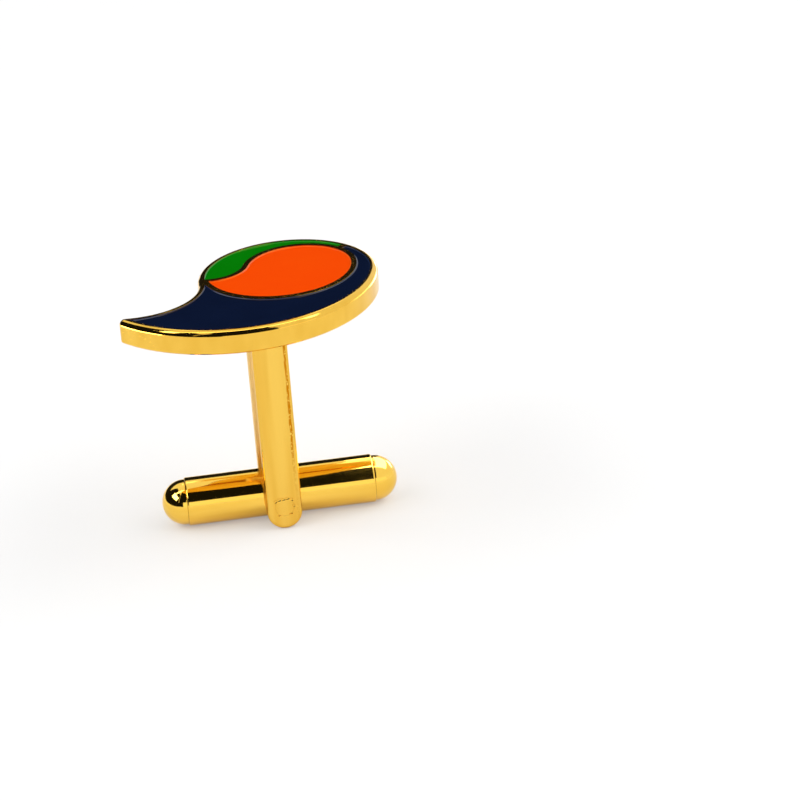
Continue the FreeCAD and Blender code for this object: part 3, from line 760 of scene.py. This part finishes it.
def makeFloor():
    letGo()
    bpy.ops.mesh.primitive_plane_add(size=stageLook["floorSize"])
    floor = bpy.context.object
    floor.name = "floor"
    paper, tree, shader = newMaterial("floorPaper")
    shader.inputs["Base Color"].default_value = (stageLook["floorTone"],) * 3 + (1,)
    shader.inputs["Roughness"].default_value = stageLook["floorRough"]
    shader.inputs["Specular IOR Level"].default_value = 0
    shader.inputs["Emission Color"].default_value = (1, 1, 1, 1)
    lift = addMath(tree, "MULTIPLY", addSeenDirectly(tree), stageLook["floorLift"])
    tree.links.new(lift, shader.inputs["Emission Strength"])
    # the camera sees a little through the floor, so the bar still shows when it is turned below it, and from
    # underneath the floor is clear
    side = tree.nodes.new("ShaderNodeNewGeometry").outputs["Backfacing"]
    toCamera = tree.nodes.new("ShaderNodeLightPath").outputs["Is Camera Ray"]
    clear = addMath(tree, "MULTIPLY", toCamera, addMath(tree, "MAXIMUM", side, stageLook["seeThrough"]))
    tree.links.new(addMath(tree, "SUBTRACT", 1.0, clear), shader.inputs["Alpha"])
    floor.data.materials.append(paper)


def makeWorld():
    world = bpy.data.worlds.new("whiteRoom")
    world.use_nodes = True
    tree = world.node_tree
    room = tree.nodes["Background"]
    room.inputs["Color"].default_value = (1, 1, 1, 1)
    strength = addSpan(tree, addSeenDirectly(tree), 0.0, 1.0, stageLook["roomLight"], 1.0)
    tree.links.new(strength, room.inputs["Strength"])
    world.cycles.sampling_method = "NONE"
    scene.world = world


# a softbox each side, so the face's shadow falls clear of the bar; the cards show in the polish instead
lampLook = {"length": 0.6, "width": 0.25, "power": 1.2,
            "places": ((-0.42, -0.05, 0.42), (0.42, -0.05, 0.42))}


def makeLamps():
    for place in lampLook["places"]:
        letGo()
        aim = Vector(place).to_track_quat("Z", "Y").to_euler()
        bpy.ops.object.light_add(type="AREA", location=place, rotation=aim)
        lamp = bpy.context.object
        lamp.data.shape = "RECTANGLE"
        lamp.data.size = lampLook["length"]
        lamp.data.size_y = lampLook["width"]
        lamp.data.energy = lampLook["power"]
        lamp.visible_glossy = False
        lamp.visible_camera = False


# dark cards stand for the unlit studio and glowing ones for its lamps; those from glowLeft to glowBehind lie
# below the enamel's level, so that it doesn't mirror them
cardLook = {
    "darkBack": {"low": (-0.9, 0.4, 0.0), "high": (0.11, 0.4, 0.33), "tone": 0.015},
    "darkLeft": {"low": (-0.5, -0.65, 0.0), "high": (-0.5, 0.4, 1.2), "tone": 0.01},
    "darkFront": {"low": (-0.22, -0.3, 0.12), "high": (0.16, -0.3, 1.3), "tone": 0.01, "slant": 0.112},
    "darkNear": {"low": (-0.02, -0.03, 0.0225), "high": (0.0206, -0.03, 0.132), "tone": 0.01,
                 "slant": 0.0093},
    # warmNear glows gold and is no lamp: a painted gold reflection in the top of the bar
    "warmNear": {"low": (-0.004, 0.03, 0.042), "high": (0.0099, 0.03, 0.06), "tone": 1.0, "hue": "#F2C238"},
    "glowNearLeft": {"low": (-0.0105, 0.03, 0.042), "high": (-0.0045, 0.03, 0.06), "tone": 2.0},
    "glowNearRight": {"low": (0.0099, 0.03, 0.042), "high": (0.017, 0.03, 0.06), "tone": 2.0},
    "darkCorner": {"low": (-0.5, -0.305, 0.0), "high": (-0.08, -0.305, 0.13), "tone": 0.01},
    "glowFront": {"low": (-0.5, -0.31, 0.0), "high": (0.5, -0.31, 0.12), "tone": 1.2},
    "glowLeft": {"low": (-0.028, -0.0175, 0.0148), "high": (-0.028, -0.001, 0.0203), "tone": 8.0},
    "glowOver": {"low": (-0.028, -0.0175, 0.0203), "high": (-0.0225, -0.001, 0.0203), "tone": 8.0},
    "glowLow": {"low": (0.036, 0.036, 0.006), "high": (0.066, 0.036, 0.0205), "tone": 6.0},
    "glowSide": {"low": (0.0115, -0.004, 0.0203), "high": (0.034, 0.03, 0.0203), "tone": 5.0},
    "glowBehind": {"low": (0.0078, 0.0125, 0.0203), "high": (0.0115, 0.02, 0.0203), "tone": 3.0},
    "glowTop": {"low": (-0.5, -0.1275, 0.6), "high": (0.5, -0.0525, 0.6), "tone": 5.0}}


def addCard(name, low, high, tone, slant=0, hue="#FFFFFF"):
    # a flat sheet square to one axis: its corners vary along the other two, and the first high side may slant
    letGo()
    bpy.ops.mesh.primitive_plane_add(size=1)
    card = bpy.context.object
    card.name = name
    across, along = [axis for axis in range(3) if low[axis] != high[axis]]
    for vert, (farAcross, farAlong) in zip(card.data.vertices, ((0, 0), (1, 0), (0, 1), (1, 1))):
        corner = list(low)
        corner[across] = (low, high)[farAcross][across] - slant * (farAcross and not farAlong)
        corner[along] = (low, high)[farAlong][along]
        vert.co = corner
    material, tree, shader = newMaterial(name)
    shader.inputs["Base Color"].default_value = (0, 0, 0, 1)
    shader.inputs["Specular IOR Level"].default_value = 0
    shader.inputs["Emission Color"].default_value = linear(hue)
    glow = addMath(tree, "MULTIPLY", addSeenDirectly(tree), tone)
    tree.links.new(glow, shader.inputs["Emission Strength"])
    card.data.materials.append(material)
    card.visible_camera = False
    card.visible_diffuse = False
    card.visible_shadow = False


makeFloor()
makeWorld()
makeLamps()
for cardName, cardValues in cardLook.items():
    addCard(cardName, **cardValues)
print("stage made")


# camera: fitted to the photograph by the bar's and post's edges
cameraLook = {"azimuth": 4.3, "elevation": 25.5, "roll": 5.45, "distance": 0.311, "focalPixels": 3676.0,
              "pivotPixel": (279.9, 489.45), "framePixels": 800.0, "sensor": 36.0, "clip": (0.01, 10)}


def makeCamera():
    look = cameraLook
    low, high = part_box("pivot_pin")
    pivot = (low + high) / 2
    azimuth, elevation, roll = (math.radians(look[key]) for key in ("azimuth", "elevation", "roll"))
    forward = Vector((math.sin(azimuth) * math.cos(elevation), math.cos(azimuth) * math.cos(elevation),
                      -math.sin(elevation)))
    level = forward.cross(Vector((0, 0, 1))).normalized()
    rise = level.cross(forward)
    right = level * math.cos(roll) - rise * math.sin(roll)
    up = level * math.sin(roll) + rise * math.cos(roll)
    aimed = Matrix((right, up, -forward)).transposed()
    # the camera swings so that the pivot falls on its pixel
    half = look["framePixels"] / 2
    pixelX, pixelY = look["pivotPixel"]
    seen = Vector((pixelX - half, half - pixelY, -look["focalPixels"])).normalized()
    swing = Vector((0, 0, -1)).rotation_difference(seen)
    turned = aimed @ swing.inverted().to_matrix()
    data = bpy.data.cameras.new("photoCamera")
    data.sensor_width = look["sensor"]
    data.lens = look["focalPixels"] / look["framePixels"] * look["sensor"]
    data.clip_start, data.clip_end = look["clip"]
    camera = bpy.data.objects.new("photoCamera", data)
    scene.collection.objects.link(camera)
    camera.matrix_world = Matrix.Translation(pivot - forward * look["distance"]) @ turned.to_4x4()
    scene.camera = camera


makeCamera()
print("camera made")
